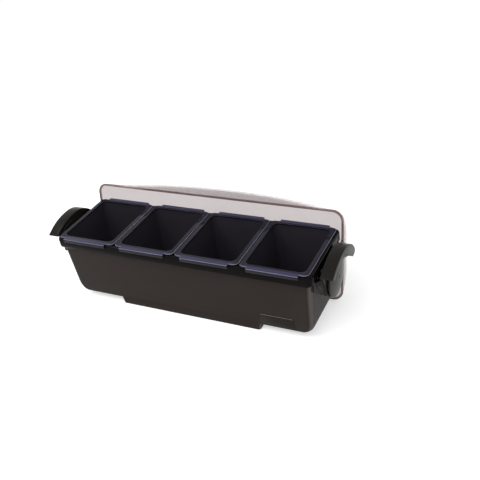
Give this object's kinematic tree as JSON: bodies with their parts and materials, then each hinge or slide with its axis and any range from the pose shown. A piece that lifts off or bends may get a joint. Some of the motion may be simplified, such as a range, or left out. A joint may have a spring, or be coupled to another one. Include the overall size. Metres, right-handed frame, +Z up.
{
  "type": "condiment caddy",
  "caption": "Countertop condiment caddy: a long tub on a foot with lift-out trays, end handles and a domed clear lid that swings down behind it.",
  "frame": {"origin": "on the counter, under the middle of the tub's row of trays", "axes": "+X along the row of trays, +Y to the back where the open lid stands, +Z up"},
  "size_m": [0.4924, 0.1924, 0.1492],
  "materials": {
    "tub_plastic": "satin",
    "black_plastic": "gloss",
    "smoke_plastic": "gloss",
    "clear_plastic": "gloss",
    "steel": "satin"
  },
  "bodies": {
    "tub": {"tub": "tub_plastic", "handle_left": "black_plastic", "handle_right": "black_plastic", "hinge_pin_left": "steel", "hinge_pin_right": "steel", "hinge_cap_left": "black_plastic", "hinge_cap_right": "black_plastic", "handle_screws_left": "steel", "handle_screws_right": "steel"},
    "lid": {"lid": "clear_plastic"},
    "tray_1": {"tray_1": "smoke_plastic"},
    "tray_2": {"tray_2": "smoke_plastic"},
    "tray_3": {"tray_3": "smoke_plastic"},
    "tray_4": {"tray_4": "smoke_plastic"}
  },
  "joints": [
    {"name": "lid_hinge", "type": "hinge", "parent": "tub", "child": "lid", "pos_m": [0, 0.002, 0.0807], "axis": [-1, 0, 0], "range_deg": [-100.3, 0]},
    {"name": "tray_1_lift", "type": "slide", "parent": "tub", "child": "tray_1", "axis": [0, 0, 1], "range_m": [0, 0.1]},
    {"name": "tray_2_lift", "type": "slide", "parent": "tub", "child": "tray_2", "axis": [0, 0, 1], "range_m": [0, 0.1]},
    {"name": "tray_3_lift", "type": "slide", "parent": "tub", "child": "tray_3", "axis": [0, 0, 1], "range_m": [0, 0.1]},
    {"name": "tray_4_lift", "type": "slide", "parent": "tub", "child": "tray_4", "axis": [0, 0, 1], "range_m": [0, 0.1]}
  ]
}
